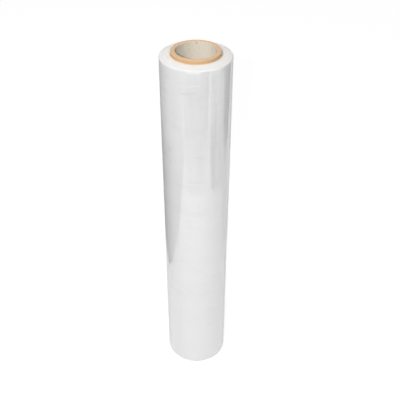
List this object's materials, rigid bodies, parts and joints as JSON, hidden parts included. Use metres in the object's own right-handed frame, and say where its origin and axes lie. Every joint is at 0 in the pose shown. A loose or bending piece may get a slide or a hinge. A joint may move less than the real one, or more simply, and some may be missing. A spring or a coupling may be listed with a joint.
{
  "type": "stretch wrap roll",
  "caption": "Hand roll of clear stretch film wound on a spiral-wound paper core that stands out at both ends, for wrapping pallets and parcels.",
  "frame": {"origin": "on the roll's axis, in the plane of the core's lower rim, which the roll stands on", "axes": "+Z along the roll's axis, upwards; +Y towards the side that the film's free end lies on, away from the picture's view"},
  "size_m": [0.089, 0.0891, 0.509],
  "materials": {
    "kraft_core": "matt spiral-wound kraft board with cut rims",
    "stretch_film": "glossy clear polyethylene film, milky where many turns lie on each other"
  },
  "bodies": {
    "root": {"paper_core": "kraft_core", "film_roll": "stretch_film"}
  },
  "joints": []
}
